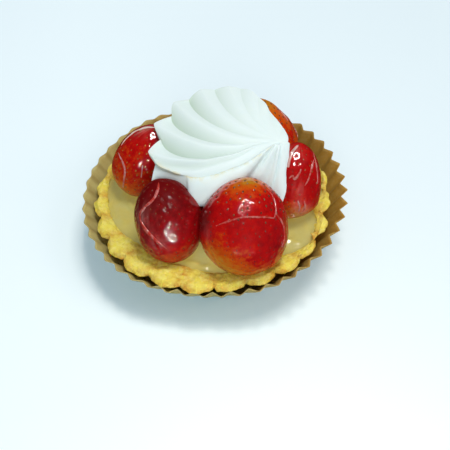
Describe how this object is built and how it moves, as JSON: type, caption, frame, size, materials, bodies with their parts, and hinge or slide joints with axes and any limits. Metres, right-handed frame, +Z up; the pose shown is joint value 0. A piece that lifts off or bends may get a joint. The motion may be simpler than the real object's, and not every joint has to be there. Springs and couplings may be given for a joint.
{
  "type": "strawberry tart",
  "caption": "Round fluted shortcrust tart with custard, whole glazed strawberries and a piped cream swirl, in a pleated brown paper case.",
  "frame": {"origin": "middle of the paper case's flat base, on the surface that the tart stands on", "axes": "+Z up; +X to the right and +Y away from the side where the two largest strawberries stand"},
  "size_m": [0.096, 0.092, 0.0479],
  "materials": {
    "paper": "matt greaseproof paper, brown",
    "crust": "baked shortcrust, dry and crumbly",
    "custard": "custard under clear glaze, wet gloss",
    "strawberry": "ripe strawberry under clear glaze, wet gloss",
    "cream": "whipped cream, soft satin"
  },
  "bodies": {
    "root": {"paper_case": "paper", "crust": "crust", "filling": "custard", "strawberry_1": "strawberry", "strawberry_2": "strawberry", "strawberry_3": "strawberry", "strawberry_4": "strawberry", "strawberry_5": "strawberry", "strawberry_6": "strawberry", "cream": "cream"}
  },
  "joints": []
}
